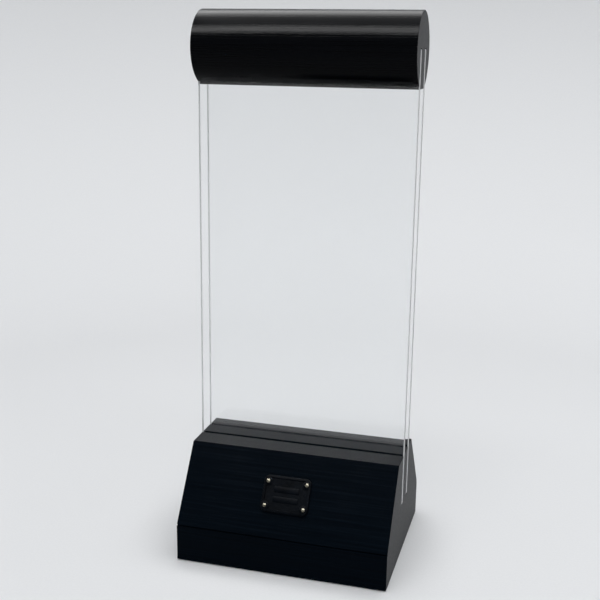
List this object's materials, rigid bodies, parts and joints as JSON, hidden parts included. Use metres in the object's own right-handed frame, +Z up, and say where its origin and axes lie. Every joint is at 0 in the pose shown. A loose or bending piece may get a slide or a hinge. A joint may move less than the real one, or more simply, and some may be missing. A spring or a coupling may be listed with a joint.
{
  "type": "accessory display stand",
  "caption": "Sloped black base with two upright clear panels in slots, capped by a slotted round bar that carries a headband; small badge on the front slope.",
  "frame": {"origin": "middle of the footprint, on the surface that the feet stand on", "axes": "+X along the stand to its right end, -Y the front with the badge, +Z up"},
  "size_m": [0.1006, 0.0822, 0.2526],
  "materials": {
    "black_print": "satin black printed plastic with fine layer lines",
    "black_print_bar": "satin black printed plastic with fine layer lines",
    "clear_acrylic": "clear cast acrylic, polished faces and cut edges",
    "clear_acrylic_back": "clear cast acrylic, polished faces and cut edges",
    "badge_black": "satin black moulded plate",
    "pin_brass": "polished domed heads",
    "foot_rubber": "soft matte pads"
  },
  "bodies": {
    "base": {"base_body": "black_print", "badge_plate": "badge_black", "badge_pins": "pin_brass", "foot_front_left": "foot_rubber", "foot_front_right": "foot_rubber", "foot_back_left": "foot_rubber", "foot_back_right": "foot_rubber"},
    "front_sheet": {"front_panel": "clear_acrylic"},
    "back_sheet": {"back_panel": "clear_acrylic_back"},
    "cap_bar": {"top_bar": "black_print_bar"}
  },
  "joints": [
    {"name": "front_panel_lift", "type": "slide", "parent": "base", "child": "front_sheet", "axis": [0, 0, 1], "range_m": [0, 0.04]},
    {"name": "back_panel_lift", "type": "slide", "parent": "base", "child": "back_sheet", "axis": [0, 0, 1], "range_m": [0, 0.04]},
    {"name": "top_bar_lift", "type": "slide", "parent": "front_sheet", "child": "cap_bar", "axis": [0, 0, 1], "range_m": [0, 0.03]}
  ],
  "couplings": [
    {"joint": "back_panel_lift", "follows": "front_panel_lift", "ratio": 1}
  ]
}
